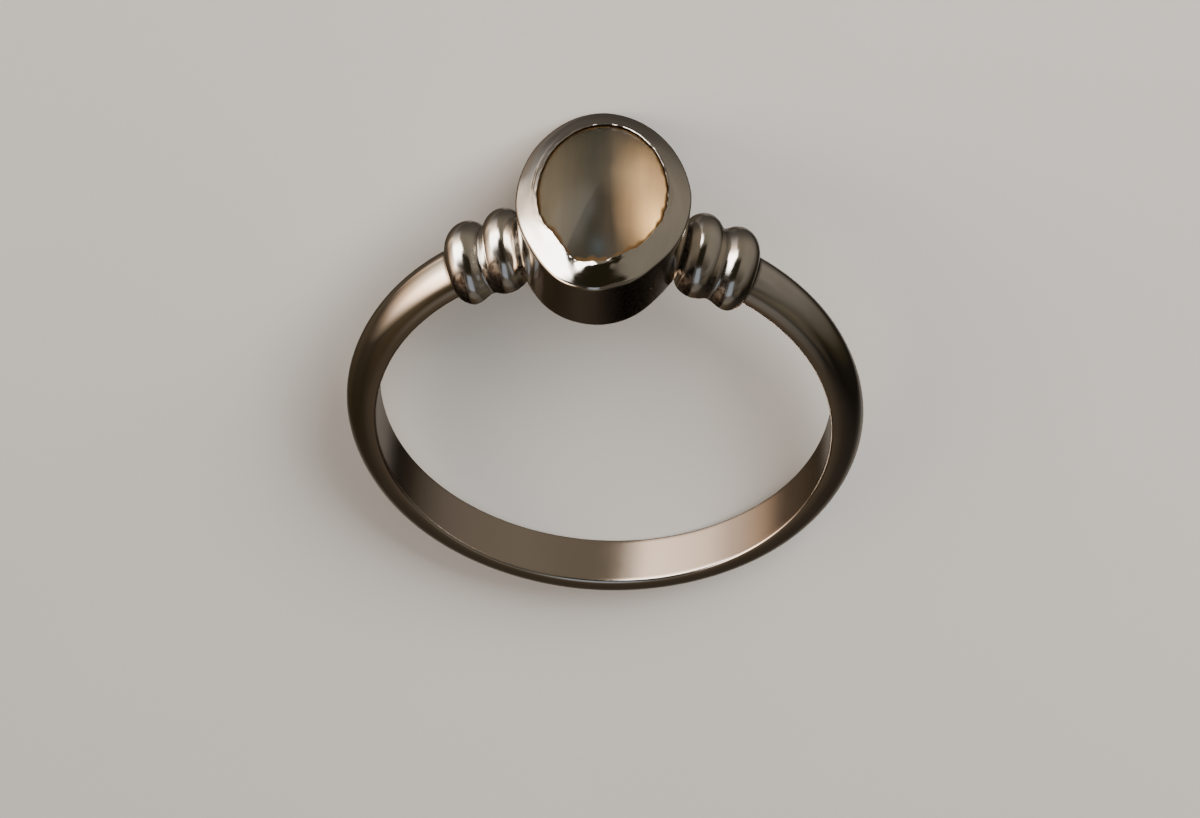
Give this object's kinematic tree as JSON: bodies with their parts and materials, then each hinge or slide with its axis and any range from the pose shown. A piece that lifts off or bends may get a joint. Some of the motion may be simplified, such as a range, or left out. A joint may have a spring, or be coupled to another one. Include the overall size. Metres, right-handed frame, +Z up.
{
  "type": "moonstone ring",
  "caption": "Silver finger ring with an oval moonstone cabochon in a heavy burnished bezel cup and rounded collars on the shoulders.",
  "frame": {"origin": "middle of the bottom of the bounding box, on the surface that the ring lies on", "axes": "+Z is up from that surface. The cup and the stone look towards -Y, +X is across the finger, and the finger axis leans from +Z towards +Y by the rest angle of 10.4 degrees, because the ring lies on the lower end of its cup and on the back of its band."},
  "size_m": [0.0194, 0.0216, 0.009],
  "materials": {
    "silver": "polished by hand, warm silver, with light wear",
    "moonstone": "polished translucent cabochon, cream to peach with a grey olive side"
  },
  "bodies": {
    "root": {"silver_ring": "silver", "moonstone": "moonstone"}
  },
  "joints": []
}
